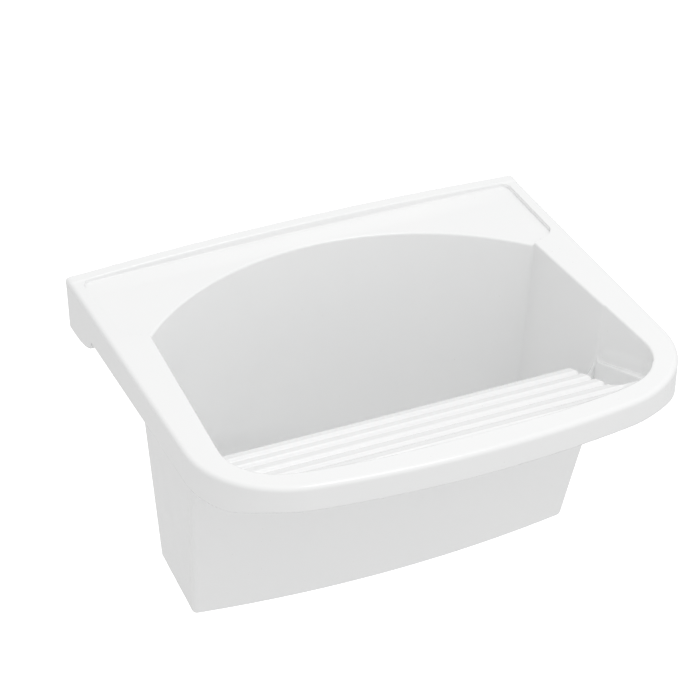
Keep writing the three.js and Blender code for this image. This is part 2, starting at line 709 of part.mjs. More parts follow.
const underGasketZ = underside - GAP - UNDER_GASKET_THICKNESS;
const slipWasherZ = underGasketZ - GAP - SLIP_WASHER_THICKNESS;
const backNutZ = slipWasherZ - GAP - BACK_NUT_HEIGHT;
place(
  waste,
  'under_gasket',
  ringPiece(threadClear, UNDER_GASKET_RADIUS, underGasketZ, underside - GAP),
  rubber,
);
place(
  waste,
  'slip_washer',
  ringPiece(threadClear, UNDER_GASKET_RADIUS, slipWasherZ, underGasketZ - GAP),
  whitePlastic,
);

function nut(cornerRadius, fromZ, toZ, bores) {
  let solid = hexagonPrism(cornerRadius, fromZ, toZ);
  for (const [radius, low, high] of bores) {
    solid = solid.subtract(cylinderAt(radius, low, high, 0, 0));
  }
  return geometryOf(solid);
}
place(
  waste,
  'back_nut',
  nut(BACK_NUT_RADIUS, backNutZ, slipWasherZ - GAP, [[threadClear, backNutZ - 1, slipWasherZ + 1]]),
  whitePlastic,
);

const sealTopZ = tubeEndZ - GAP;
const sealUnderZ = sealTopZ - TAIL_SEAL_THICKNESS;
const tailNutTopZ = tubeEndZ + TAIL_NUT_GRIP;
const tailNutUnderZ = sealUnderZ - GAP - TAIL_NUT_LIP;
place(
  waste,
  'tail_seal',
  ringPiece(TAIL_RADIUS + GAP, WASTE_TUBE_RADIUS, sealUnderZ, sealTopZ),
  rubber,
);
place(
  waste,
  'tail_nut',
  nut(TAIL_NUT_RADIUS, tailNutUnderZ, tailNutTopZ, [
    [threadClear, sealUnderZ - GAP, tailNutTopZ + 1],
    [TAIL_RADIUS + GAP, tailNutUnderZ - 1, sealUnderZ],
  ]),
  whitePlastic,
);
place(
  waste,
  'tail_pipe',
  ringPiece(TAIL_RADIUS - TAIL_WALL, TAIL_RADIUS, underside - TAIL_BELOW_BOWL, tubeEndZ + TAIL_INSERTION),
  whitePlastic,
);

// plug: a tapered rubber stopper whose rim rests on the flange
const plugTopZ = flangeTopZ + GAP + PLUG_RIM_THICKNESS;
const plugGap = GAP * 1.5;
const plug = turned([
  [0, plugTopZ - PLUG_HEIGHT],
  [PLUG_SEAT_RADIUS - PLUG_SEAT_TAPER - plugGap, plugTopZ - PLUG_HEIGHT],
  [PLUG_SEAT_RADIUS - plugGap, flangeTopZ + GAP],
  [PLUG_RIM_RADIUS, flangeTopZ + GAP],
  [PLUG_RIM_RADIUS, plugTopZ - 1],
  [PLUG_RIM_RADIUS - 1, plugTopZ],
  [0, plugTopZ],
]);
place(waste, 'plug', plug, rubber);

// a semicircular wire loop on a small plate, open along X
function staple() {
  const plateTop = plugTopZ + GAP + STAPLE_PLATE_THICKNESS;
  const rise = 2 * RING_WIRE_RADIUS + 1.5 * STAPLE_WIRE_RADIUS + 4 * GAP;
  const steps = 10;
  const path = new THREE.CatmullRomCurve3(Array.from({ length: steps + 1 }, (_, k) => {
    const angle = (Math.PI * k) / steps;
    const height = plateTop - STAPLE_WIRE_RADIUS / 2 + rise * Math.sin(angle);
    return new THREE.Vector3(0, STAPLE_RADIUS * Math.cos(angle), height);
  }));
  const section = new THREE.Shape();
  section.absarc(0, 0, STAPLE_WIRE_RADIUS, 0, 2 * Math.PI, false);
  const wire = new THREE.ExtrudeGeometry(section, {
    steps: 2 * steps, curveSegments: WIRE_FACETS / 2, extrudePath: path, bevelEnabled: false,
  });
  const plate = cylinderAt(STAPLE_PLATE_RADIUS, plugTopZ + GAP, plateTop, 0, 0, SMALL_FACETS);
  return geometryOf(solidOf(merged(wire)).add(plate));
}
place(waste, 'plug_staple', staple(), chrome);

// the pull ring hangs through the staple and lies on the plug
const ringPivotZ = plugTopZ + GAP + STAPLE_PLATE_THICKNESS + RING_WIRE_RADIUS + 2 * GAP;
const ringDrop = ringPivotZ - plugTopZ - RING_WIRE_RADIUS - GAP;
const ringHinge = new THREE.Group();
ringHinge.position.set(0, 0, ringPivotZ);
ringHinge.rotation.x = Math.asin(ringDrop / (2 * RING_RADIUS));
waste.add(ringHinge);
const pullRing = merged(new THREE.TorusGeometry(RING_RADIUS, RING_WIRE_RADIUS, WIRE_FACETS, 28));
place(ringHinge, 'pull_ring', pullRing, chrome).position.y = -RING_RADIUS;

// wall fixings: a coach screw in a nylon bush, with a washer and a snap cap, seen from under the rim
function alongWall(geometry) {
  geometry.rotateX(Math.PI / 2);
  return geometry;
}

const bushFlangeFrom = BEAM_WALL + GAP;
const washerFrom = bushFlangeFrom + BUSH_FLANGE_THICKNESS + GAP;
const headFrom = washerFrom + WASHER_THICKNESS + GAP;
const headTo = headFrom + SCREW_HEAD_HEIGHT;
const shankClear = SCREW_RADIUS + GAP;
const capInner = WASHER_RADIUS + GAP;

function coachScrew() {
  const shank = solidOf(turned([
    [0, -SCREW_BEHIND_WALL_FACE],
    [SCREW_RADIUS, -SCREW_BEHIND_WALL_FACE + SCREW_TIP],
    [SCREW_RADIUS, headFrom + 1],
    [0, headFrom + 1],
  ], SMALL_FACETS));
  return alongWall(geometryOf(shank.add(hexagonPrism(SCREW_HEAD_RADIUS, headFrom, headTo))));
}

function bush() {
  return alongWall(turned([
    [shankClear, GAP],
    [FIXING_HOLE_RADIUS - GAP, GAP],
    [FIXING_HOLE_RADIUS - GAP, bushFlangeFrom],
    [BUSH_FLANGE_RADIUS, bushFlangeFrom],
    [BUSH_FLANGE_RADIUS, bushFlangeFrom + BUSH_FLANGE_THICKNESS],
    [shankClear, bushFlangeFrom + BUSH_FLANGE_THICKNESS],
  ], SMALL_FACETS));
}

function snapCap() {
  const outer = capInner + CAP_WALL;
  const roof = washerFrom + CAP_HEIGHT;
  return alongWall(turned([
    [capInner, washerFrom],
    [outer, washerFrom],
    [outer, roof - 3],
    [outer - 3, roof],
    [0, roof],
    [0, roof - CAP_WALL],
    [capInner - 2.5, roof - CAP_WALL],
    [capInner, roof - 3.5],
  ], SMALL_FACETS));
}

for (const [side, sideName] of [[-1, 'left'], [1, 'right']]) {
  const fixing = new THREE.Group();
  fixing.position.set(side * fixingX, 0, -FIXING_DROP);
  sink.add(fixing);
  const washerTo = washerFrom + WASHER_THICKNESS;
  const washer = alongWall(ringPiece(shankClear, WASHER_RADIUS, washerFrom, washerTo, SMALL_FACETS));
  place(fixing, `wall_screw_${sideName}`, coachScrew(), steel);
  place(fixing, `screw_bush_${sideName}`, bush(), nylon);
  place(fixing, `screw_washer_${sideName}`, washer, steel);
  place(fixing, `screw_cap_${sideName}`, snapCap(), whitePlastic);
}

export default sink;
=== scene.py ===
"""Wall-hung utility laundry sink: glazed china basin with a washboard and a soap well, its waste,
plug and wall fixings.

Shapes are worked out in millimetres in the frame's own axes (X along the wall, +Y into it, Z up
from the rim's top) and are made metres only in the finished meshes.
"""
import math

import bmesh
import bpy
import numpy as np
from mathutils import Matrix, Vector


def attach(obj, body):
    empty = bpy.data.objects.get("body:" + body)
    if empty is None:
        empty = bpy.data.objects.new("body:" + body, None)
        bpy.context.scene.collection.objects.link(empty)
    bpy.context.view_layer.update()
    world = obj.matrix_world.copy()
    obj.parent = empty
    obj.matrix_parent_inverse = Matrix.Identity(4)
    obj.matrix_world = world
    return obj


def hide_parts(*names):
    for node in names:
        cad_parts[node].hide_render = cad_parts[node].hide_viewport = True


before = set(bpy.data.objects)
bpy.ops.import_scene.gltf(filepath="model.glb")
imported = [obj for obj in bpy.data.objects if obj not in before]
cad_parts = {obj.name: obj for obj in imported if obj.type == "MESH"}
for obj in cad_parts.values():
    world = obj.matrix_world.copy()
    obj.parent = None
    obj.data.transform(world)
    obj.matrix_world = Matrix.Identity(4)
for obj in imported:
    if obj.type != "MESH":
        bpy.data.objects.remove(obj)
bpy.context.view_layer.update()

MM = 0.001

# ------------------------------------------------------------------ the basin's sizes

# rim and apron
REAR_WIDTH = 600
RIM_DEPTH = 530
RIM_FLARE = 0.011
RIM_CORNER = 130
RIM_FRONT_RADIUS = 1264
RIM_REAR_CORNER = 5
RIM_EDGE = 6
WALL_EDGE = 2.5
DECK = 16
SKIRT = 13
SKIRT_DRAFT = 0.03
SIDE_APRON = 45.5
FRONT_APRON = 35
APRON_RISE = (455, 505)
APRON_EDGE = 3

# hanging beam along the wall
BEAM_DEPTH = 71
BEAM_REACH = 84
BEAM_WALL = 15
BEAM_FOOT = 7

# crowned ledge at the back and the shallow deck in front of it
LEDGE_CROWN = 9.5
LEDGE_WIDTH = 16
LEDGE_EDGE = 2.5
LEDGE_COVE = 2
DECK_RISE = (0.45, 46)
RECESS_DEPTH = 4.5
RECESS_SIDE = 285
RECESS_FRONT = 145
RECESS_CORNER = 12
RECESS_STEP = 1
RECESS_TAPER = 0.4

# opening
OPENING_SIDE = 251.5
OPENING_CORNER_Y = 158
ARCH_APEX = 45
OPENING_FLARE = 0.064
OPENING_CORNER = 82
OPENING_REAR_CORNER = 6
FRONT_RIM = 30
OPENING_EDGE = 2.5

# bowl
BOWL_HEIGHT = 343
FRONT_WALL = 14
SIDE_WALL = 16.5
REAR_WALL = 24
BOWL_FLOOR = 14
FLOOR_FALL = 4
SIDE_DRAFT = 0.076
REAR_DRAFT = 0.053
FRONT_LEAN = 0.252
FRONT_HOLLOW = (16, 40)
FRONT_TOP = 334
FRONT_BULGE = 21
BOWL_FOOT = 6
FLOOR_ROUND = 32
OUTER_CORNER = 6

# washboard and soap well
SLOPE = 0.375
CREST_DROP = 2
BOARD_THICKNESS = 14
RIDGE_PITCH = 31.8
RIDGE_FIRST = 347
RIDGE_HEIGHT = 5
RIDGE_HALF_TOP = 7
RIDGE_FLANK = 5
RIDGE_START = -238
RIDGE_END = 212
RIDGE_FADE = 14
BOARD_EDGE = 5
COVE = 14
WELL_WIDTH = 42
WELL_DEPTH = 40
WELL_LEDGE_DROP = 7
WELL_FRONT = 446
WELL_WALL = 12
WELL_EDGE = 4
WELL_LEDGE_EDGE = 1.5
WELL_CORNER = 9

# holes
HOLE_EDGE = 1
WASTE_Y = 165
WASTE_HOLE = 23
WASTE_SEAT = 37
WASTE_SEAT_DEPTH = 4
BOLT_INSET = 70
BOLT_DROP = 36
BOLT_HOLE = 7

# waste and plug: radii, and levels below the rim's top
GAP = 0.3
UNDERSIDE = -BOWL_HEIGHT
FLANGE_RADIUS = 35
FLANGE_TOP = -328.4
FLANGE_THICKNESS = 2
TUBE_RADIUS = 21.5
TUBE_INNER = 19
TUBE_END = UNDERSIDE - 30
TUBE_PITCH = 2.3
THREAD_DEPTH = 0.7
PLUG_SEAT = 21
PLUG_SEAT_TAPER = 2
PLUG_SEAT_DEPTH = 9
GRATE_TOP = FLANGE_TOP - 22
GRATE_THICKNESS = 2
GRATE_EDGE = 0.4
GRATE_LEDGE = 2.5
GRATE_HOLE = 3.5
GRATE_HOLE_CIRCLE = 10.5
GASKET_RADIUS = 34
UNDER_GASKET = (UNDERSIDE - 3.3, UNDERSIDE - 0.3)
SLIP_WASHER = (UNDERSIDE - 5.1, UNDERSIDE - 3.6)
BACK_NUT = (UNDERSIDE - 15.4, UNDERSIDE - 5.4)
BACK_NUT_CORNER = 33
TAIL_RADIUS = 16
TAIL_INNER = 14.5
TAIL_PIPE = (UNDERSIDE - 62, TUBE_END + 8)
TAIL_SEAL = (TUBE_END - 3.3, TUBE_END - 0.3)
TAIL_NUT = (TUBE_END - 6.6, TUBE_END + 9)
TAIL_NUT_CORNER = 28
PLUG_TOP = FLANGE_TOP + 3.3
PLUG_HEIGHT = 10
PLUG_RIM = 24
PLUG_DISH = 0.6
STAPLE_PLATE = (7, 1)
STAPLE_RADIUS = 3.4
STAPLE_RISE = 5.1
STAPLE_WIRE = 1
RING_RADIUS = 10
RING_WIRE = 1.2
RING_PIVOT = -322.0

# wall fixings: distances from the wall face
SCREW_RADIUS = 4
SCREW_END = -44
SCREW_TIP = 8
SCREW_PITCH = 2.8
SCREW_THREAD = 1.0
SCREW_THREAD_TOP = -4
SCREW_HEAD = (19.0, 24.5)
SCREW_HEAD_CORNER = 7.5
BUSH_FLANGE = (15.3, 16.8)
BUSH_FLANGE_RADIUS = 11
WASHER = (17.1, 18.7)
WASHER_RADIUS = 11
CAP = (17.1, 28.1)
CAP_RADIUS = 12.5
CAP_WALL = 1.2

FRONT_CENTRE_Y = RIM_FRONT_RADIUS - RIM_DEPTH
ARCH_RISE = OPENING_CORNER_Y - ARCH_APEX
ARCH_RADIUS = (OPENING_SIDE ** 2 + ARCH_RISE ** 2) / (2 * ARCH_RISE)
ARCH_CENTRE_Y = -ARCH_APEX - ARCH_RADIUS
OPENING_FRONT = RIM_DEPTH - FRONT_RIM
FLOOR_Z = -BOWL_HEIGHT + BOWL_FLOOR
BOLT_X = REAR_WIDTH / 2 - BOLT_INSET

# ------------------------------------------------------------------ signed distances


def both(a, b, radius, lean=0):
    """What two solids share: the larger of two signed distances, the convex edge an exact arc for
    outward normals whose angle has lean as its cosine."""
    a, b = a + radius, b + radius
    square = (a * a + b * b - 2 * lean * a * b) / (1 - lean * lean)
    beside = (a > lean * b) & (b > lean * a)
    return np.where(beside, np.sqrt(np.maximum(square, 0)), np.maximum(a, b)) - radius


def circle(x, y, centre_y, radius):
    """Signed distance to a circle centred on the middle plane, and its normal's sideways share."""
    distance = np.hypot(x, y - centre_y)
    return distance - radius, np.abs(x) / distance


def either(a, b, radius):
    """Two solids joined: the smaller of two signed distances, the concave corner filled."""
    return -both(-a, -b, radius)


def eased(value, low, high):
    """0 below low, 1 above high and a smooth S between them."""
    share = np.clip((value - low) / (high - low), 0, 1)
    return share * share * (3 - 2 * share)


def rim_plan(x, y):
    """Outer outline of the rim: slightly flared sides and a bowed front, joined by large arcs."""
    side = np.abs(x) - REAR_WIDTH / 2 + RIM_FLARE * y
    front, lean = circle(x, y, FRONT_CENTRE_Y, RIM_FRONT_RADIUS)
    return both(side, front, RIM_CORNER, lean)


def crest_level(y):
    """Height of the washboard's ridge tops: a plane that falls towards the bowl."""
    return -CREST_DROP - SLOPE * (y + OPENING_FRONT)


def opening_walls(x, y, depth, grow_side, grow_rear):
    """Arched rear wall, drafted flaring sides and bowed front of the opening, at a depth."""
    flare = OPENING_FLARE * (-y - OPENING_CORNER_Y)
    side = np.abs(x) - OPENING_SIDE - flare + SIDE_DRAFT * depth - grow_side
    arch, arch_lean = circle(x, y, ARCH_CENTRE_Y, ARCH_RADIUS - REAR_DRAFT * depth + grow_rear)
    front, front_lean = circle(x, y, FRONT_CENTRE_Y, RIM_FRONT_RADIUS - FRONT_RIM + grow_side)
    return both(both(side, front, OPENING_CORNER, front_lean), arch, OPENING_REAR_CORNER, arch_lean)


def bowl_front(x, y, depth, growth):
    """The bowl's front wall: leans back below the washboard's edge, most just below it, and bows
    more and more towards the floor."""
    below = np.maximum(depth + crest_level(-FRONT_TOP), 0)
    bow = FRONT_BULGE * (depth / BOWL_HEIGHT) * (1 - (x / OPENING_SIDE) ** 2)
    hollow = FRONT_HOLLOW[0] * (1 - np.exp(-below / FRONT_HOLLOW[1]))
    front_y = -FRONT_TOP + FRONT_LEAN * below + hollow - bow - growth
    return (front_y - y) / math.hypot(1, FRONT_LEAN)


def board_top(x, y):
    """The washboard's surface: the sloping plane, less grooves with steep flanks between flat
    ridges that follow each other at an even pitch."""
    pitches = (-y - RIDGE_FIRST) / RIDGE_PITCH
    from_ridge = RIDGE_PITCH * np.abs(pitches - np.round(pitches))
    groove = RIDGE_HEIGHT * eased(from_ridge, RIDGE_HALF_TOP, RIDGE_HALF_TOP + RIDGE_FLANK)
    ridged = eased(x, RIDGE_START - RIDGE_FADE, RIDGE_START)
    ridged = ridged * (1 - eased(x, RIDGE_END, RIDGE_END + RIDGE_FADE))
    return crest_level(y) - groove * ridged


def soap_well(x, y, z, growth, width=WELL_WIDTH, depth=WELL_DEPTH):
    """The slot beside the ridges: its floor runs parallel to the washboard, open to the bowl."""
    side = np.abs(x - RIDGE_END - width / 2) - width / 2 - growth
    front = -WELL_FRONT - growth - y
    rear = y + FRONT_TOP - FRONT_WALL
    floor = (crest_level(y) - depth - growth - z) / math.hypot(1, SLOPE)
    ends = np.maximum(both(side, front, WELL_CORNER), rear)
    return both(ends, floor, WELL_CORNER)


def cavity(x, y, z):
    """Everything scooped out of the basin from above."""
    above_board = (board_top(x, y) - z) / math.hypot(1, SLOPE)
    space = either(above_board, bowl_front(x, y, -z, 0), BOARD_EDGE)
    walls = opening_walls(x, y, -z, 0, 0)
    beside_well = soap_well(x, y, z, 0, REAR_WIDTH / 2 - RIDGE_END, WELL_LEDGE_DROP)
    well = both(walls, either(beside_well, soap_well(x, y, z, 0), WELL_LEDGE_EDGE), WELL_LEDGE_EDGE)
    space = either(both(walls, space, COVE), well, WELL_EDGE)
    fall = FLOOR_FALL * (1 - eased(np.hypot(x, y + WASTE_Y), WASTE_SEAT, OPENING_SIDE))
    return both(space, FLOOR_Z - fall - z, FLOOR_ROUND)


def crown(x):
    """Height of the back ledge: a parabola across the basin, highest midway and none at the ends."""
    return LEDGE_CROWN * (1 - (x / (REAR_WIDTH / 2)) ** 2)


def deck_top(x, y):
    """Upper face: a level rim and a shallow recess, whose floor curves up to the back ledge."""
    front = -y - RECESS_FRONT - RECESS_TAPER * (RECESS_SIDE - np.abs(x))
    recess = both(np.abs(x) - RECESS_SIDE, y + LEDGE_WIDTH - RECESS_STEP, RECESS_CORNER)
    recess = both(recess, front, RECESS_CORNER)
    share, reach = DECK_RISE
    floor = share * crown(x) * (1 - eased(-y, LEDGE_WIDTH, reach)) - RECESS_DEPTH
    return floor * (1 - eased(recess, -RECESS_STEP, 0))


def back_ledge(x, y, z):
    """Signed distance to the crowned strip along the wall."""
    return both(z - crown(x), -y - LEDGE_WIDTH, LEDGE_EDGE)


def apron_under(y):
    """Lower edge of the apron: level at the sides, higher in front, and the beam's curved foot."""
    rise = eased(-y, *APRON_RISE)
    level = -SIDE_APRON + (SIDE_APRON - FRONT_APRON) * rise
    run = np.clip((-y - 2 * BEAM_FOOT) / (BEAM_REACH - 2 * BEAM_FOOT), 0, 1)
    return level - (BEAM_DEPTH - SIDE_APRON) * np.sqrt(1 - run ** 2)


def basin(x, y, z):
    """Signed distance to the china, negative inside."""
    depth = -z
    rim = rim_plan(x, y) + SKIRT_DRAFT * depth
    top = either(z - deck_top(x, y), back_ledge(x, y, z), LEDGE_COVE)
    block = both(both(rim, top, RIM_EDGE), y, WALL_EDGE)
    block = both(block, apron_under(y) - z, APRON_EDGE)
    hollow = both(rim + SKIRT, y + BEAM_WALL, RIM_REAR_CORNER)
    hollow = both(hollow, z + DECK, RIM_EDGE)
    shell = both(block, -hollow, APRON_EDGE)

    under_board = crest_level(y) - RIDGE_HEIGHT - BOARD_THICKNESS
    board = (np.minimum(under_board, -DECK - 1) - z) / math.hypot(1, SLOPE)
    board = np.maximum(board, y + FRONT_TOP - BOARD_EDGE)
    board = either(board, soap_well(x, y, z, WELL_WALL), WELL_EDGE)
    board = np.maximum(board, opening_walls(x, y, depth, WELL_WALL, WELL_WALL))
    sides = opening_walls(x, y, depth, SIDE_WALL, REAR_WALL)
    bowl = both(sides, bowl_front(x, y, depth, FRONT_WALL), OUTER_CORNER)
    bowl = both(bowl, -BOWL_HEIGHT - z, BOWL_FOOT)
    below_deck = z + DECK - RIM_EDGE / 3
    under = np.maximum(either(board, bowl, BOARD_EDGE), below_deck)

    body = both(either(shell, under, RIM_EDGE), -cavity(x, y, z), OPENING_EDGE)
    from_waste = np.hypot(x, y + WASTE_Y)
    seat = both(from_waste - WASTE_SEAT, FLOOR_Z - WASTE_SEAT_DEPTH - z, HOLE_EDGE)
    body = both(body, -seat, HOLE_EDGE)
    body = both(body, WASTE_HOLE - from_waste, HOLE_EDGE)
    bolt = np.hypot(np.abs(x) - BOLT_X, z + BOLT_DROP)
    bolt_hole = np.maximum(bolt - BOLT_HOLE, -y - 2 * BEAM_WALL)
    return both(body, -bolt_hole, HOLE_EDGE)


# ------------------------------------------------------------------ surface of a signed distance


def spaced(*stretches):
    """Grid lines from (start, end, spacing) stretches that follow each other."""
    counts = [max(round((end - start) / step), 1) for start, end, step in stretches]
    lines = [np.linspace(*part[:2], count, endpoint=False) for part, count in zip(stretches, counts)]
    return np.append(np.concatenate(lines), stretches[-1][1])


def surface_nets(distance, xs, ys, zs):
    """Surface nets: one point in each grid cell that the surface crosses, at the mean of its
    edges' crossings, and one quad round each grid edge whose ends lie on opposite sides."""
    grid = distance(xs[:, None, None], ys[None, :, None], zs[None, None, :]).astype(np.float32)
    inside = grid < 0
    counts = np.zeros([n - 1 for n in grid.shape], np.int8)
    corners = [(i, j, k) for i in (0, 1) for j in (0, 1) for k in (0, 1)]
    for i, j, k in corners:
        counts += inside[i:counts.shape[0] + i, j:counts.shape[1] + j, k:counts.shape[2] + k]
    cells = np.argwhere((counts > 0) & (counts < 8))
    number = np.full(counts.shape, -1, np.int32)
    number[tuple(cells.T)] = np.arange(len(cells))

    values = {c: grid[tuple((cells + c).T)].astype(float) for c in corners}
    lines = (xs, ys, zs)
    places = {c: np.stack([lines[a][cells[:, a] + c[a]] for a in range(3)], 1) for c in corners}
    total = np.zeros((len(cells), 3))
    crossings = np.zeros(len(cells))
    pairs = [(a, b) for a in corners for b in corners if a < b]
    for a, b in [(a, b) for a, b in pairs if sum(np.abs(np.subtract(a, b))) == 1]:
        crossed = (values[a] < 0) != (values[b] < 0)
        share = np.where(crossed, values[a] / np.where(crossed, values[a] - values[b], 1), 0)
        point = places[a] + share[:, None] * (places[b] - places[a])
        total += point * crossed[:, None]
        crossings += crossed
    points = total / crossings[:, None]

    quads = []
    for axis in range(3):
        others = [a for a in range(3) if a != axis]
        low = np.moveaxis(inside, axis, 0)[:-1]
        high = np.moveaxis(inside, axis, 0)[1:]
        edges = np.argwhere(low != high)
        edges = edges[(edges[:, 1] > 0) & (edges[:, 2] > 0)]
        edges = edges[(edges[:, 1] < low.shape[1] - 1) & (edges[:, 2] < low.shape[2] - 1)]
        table = np.moveaxis(number, axis, 0)
        around = ((1, 1), (0, 1), (0, 0), (1, 0))
        round_edge = [table[edges[:, 0], edges[:, 1] - i, edges[:, 2] - j] for i, j in around]
        quad = np.stack(round_edge, 1)
        leaving = low[tuple(edges.T)]
        turned_over = leaving if others != [0, 2] else ~leaving
        quad[~turned_over] = quad[~turned_over][:, ::-1]
        quads.append(quad)
    return points, np.concatenate(quads)


def slope_of(distance, points):
    """Central differences of the distance at each point."""
    step = 0.02
    parts = []
    for axis in range(3):
        shift = np.zeros(3)
        shift[axis] = step
        ahead = distance(*(points + shift).T)
        behind = distance(*(points - shift).T)
        parts.append((ahead - behind) / (2 * step))
    return np.stack(parts, 1)


def settled(distance, points, rounds, reach):
    """Points moved along the slope until they lie on the surface, at most reach each round."""
    least_square = 0.05
    for _ in range(rounds):
        slope = slope_of(distance, points)
        off = distance(*points.T) / np.maximum((slope ** 2).sum(1), least_square)
        points = points - slope * np.clip(off, -reach, reach)[:, None]
    return points


def mesh_from(name, points, faces, smooth=True):
    """A mesh object from points in millimetres and faces, shaded smooth."""
    mesh = bpy.data.meshes.new(name)
    mesh.from_pydata((points * MM).tolist(), [], faces.tolist())
    mesh.polygons.foreach_set("use_smooth", np.full(len(mesh.polygons), smooth))
    mesh.validate()
    mesh.update()
    piece = bpy.data.objects.new(name, mesh)
    bpy.context.scene.collection.objects.link(piece)
    return piece


def thinned(piece, triangles):
    """Mesh data of a piece after collapsing edges until about so many triangles are left."""
    modifier = piece.modifiers.new("thin", "DECIMATE")
    modifier.ratio = triangles / (2 * len(piece.data.polygons))
    modifier.use_collapse_triangulate = True
    evaluated = piece.evaluated_get(bpy.context.evaluated_depsgraph_get())
    mesh = bpy.data.meshes.new_from_object(evaluated)
    piece.modifiers.clear()
    return mesh


GRID = 2.6
GRID_MARGIN = 6
GRID_SIDE_MARGIN = 10
REAR_BAND = -30
PLAIN_WALL = (-BOWL_HEIGHT + 60, -BEAM_DEPTH - 50)
DECK_BAND = -12
BASIN_TRIANGLES = 190_000


def basin_shell():
    """The china as one closed skin: surface nets of its signed distance on a grid that is finer
    where edges are tight, thinned, settled on the exact surface and given its exact normals."""
    side = REAR_WIDTH / 2 + GRID_SIDE_MARGIN
    plain_from, plain_to = PLAIN_WALL
    xs = spaced((-side, side, GRID))
    ys = spaced((-RIM_DEPTH - GRID_MARGIN, REAR_BAND, GRID), (REAR_BAND, GRID_MARGIN, GRID * 0.6))
    zs = spaced(
        (-BOWL_HEIGHT - GRID_MARGIN, plain_from, GRID),
        (plain_from, plain_to, 2 * GRID),
        (plain_to, DECK_BAND, GRID),
        (DECK_BAND, LEDGE_CROWN + GRID_MARGIN, GRID / 2),
    )
    points, quads = surface_nets(basin, xs, ys, zs)
    points = settled(basin, points, 2, GRID / 2)
    piece = mesh_from("basin", points, quads)
    mesh = thinned(piece, BASIN_TRIANGLES)
    piece.data = mesh
    flat = np.zeros(len(mesh.vertices) * 3)
    mesh.vertices.foreach_get("co", flat)
    points = settled(basin, flat.reshape(-1, 3) / MM, 2, GRID / 4)
    mesh.vertices.foreach_set("co", (points * MM).ravel())
    mesh.polygons.foreach_set("use_smooth", np.full(len(mesh.polygons), True))
    normals = slope_of(basin, points)
    normals /= np.linalg.norm(normals, axis=1)[:, None]
    mesh.normals_split_custom_set_from_vertices(normals.tolist())
    mesh.update()
    return piece


# ------------------------------------------------------------------ turned, drawn and cut pieces


def rounded(corners, radius=0.5, steps=4):
    """An outline of (radius, height) corners, each replaced by a quadratic curve between points on
    its two sides; corners on the axis stay sharp."""
    corners = np.asarray(corners, float)
    outline = []
    for before, here, after in zip(np.roll(corners, 1, 0), corners, np.roll(corners, -1, 0)):
        if here[0] == 0:
            outline.append(here)
            continue
        back, ahead = before - here, after - here
        reach = min(radius, 0.45 * np.hypot(*back), 0.45 * np.hypot(*ahead))
        start = here + back / np.hypot(*back) * reach
        end = here + ahead / np.hypot(*ahead) * reach
        for share in np.linspace(0, 1, steps + 1):
            outline.append((1 - share) ** 2 * start + 2 * share * (1 - share) * here + share ** 2 * end)
    return np.array(outline)


def hexagon(corner):
    """Distance from a hexagon's centre to its side, by angle, for a distance to its corners."""
    return lambda angle: corner * math.cos(math.pi / 6) / np.cos(angle % (math.pi / 3) - math.pi / 6)


def spun(outline, limit=None, thread=None, segments=96):
    """An outline that climbs its outer side, turned about Z. A limit caps the radius by angle, as
    on a nut. A thread (radius, pitch, depth, low, high) cuts a triangular helix into that radius."""
    radius, height = outline.T
    if thread:
        surface, pitch, depth, low, high = thread
        levels = np.arange(low, high, pitch / 8)
        place = np.flatnonzero(np.isclose(radius, surface) & (height < high))[-1] + 1
        radius = np.insert(radius, place, np.full(len(levels), surface))
        height = np.insert(height, place, levels)
    angle = np.linspace(0, 2 * math.pi, segments, endpoint=False)
    radii = np.repeat(radius[:, None], segments, 1)
    heights = np.repeat(height[:, None], segments, 1)
    if thread:
        flank = np.abs(2 * ((heights / pitch - angle / (2 * math.pi)) % 1) - 1)
        cut = eased(heights, low, low + pitch) * (1 - eased(heights, high - pitch, high))
        radii = radii - depth * flank * cut * np.isclose(radii, surface)
    if limit:
        radii = np.minimum(radii, limit(angle))
    points = np.stack([radii * np.cos(angle), radii * np.sin(angle), heights], 2).reshape(-1, 3)
    return points, woven(len(radius), segments)


def woven(rows, columns):
    """Quads of a grid of points that closes on itself both ways."""
    row, column = np.meshgrid(np.arange(rows), np.arange(columns), indexing="ij")
    next_row, next_column = (row + 1) % rows, (column + 1) % columns
    corners = [(row, column), (row, next_column), (next_row, next_column), (next_row, column)]
    return np.stack([(r * columns + c).ravel() for r, c in corners], 1)


def drawn(path, square, radius, sides=20):
    """A round wire along a closed flat path: circles in the planes of the path's own normals and
    the direction that is square to all of it."""
    path = np.asarray(path, float)
    along = np.roll(path, -1, 0) - np.roll(path, 1, 0)
    along /= np.linalg.norm(along, axis=1)[:, None]
    across = np.cross(along, square)
    turn = np.linspace(0, 2 * math.pi, sides, endpoint=False)[None, :, None]
    rings = path[:, None] + radius * (np.cos(turn) * across[:, None] - np.sin(turn) * np.asarray(square))
    return rings.reshape(-1, 3), woven(len(path), sides)


def joined(*shapes):
    """Several (points, faces) as one."""
    starts = np.cumsum([0] + [len(points) for points, _ in shapes[:-1]])
    points = np.concatenate([points for points, _ in shapes])
    return points, np.concatenate([faces + start for (_, faces), start in zip(shapes, starts)])


def over_waste(shape):
    """A turned shape moved onto the waste's axis."""
    points, faces = shape
    return points + (0, -WASTE_Y, 0), faces


def on_wall(shape, side):
    """A turned shape laid along -Y from the wall face, on one fixing's axis."""
    x, y, z = shape[0].T
    return np.stack([x + side * BOLT_X, -z, y - BOLT_DROP], 1), shape[1]


def washer_shape(inner, outer, low, high, edge=0.4):
    """A flat ring with softened edges."""
    return spun(rounded([(inner, low), (outer, low), (outer, high), (inner, high)], edge))


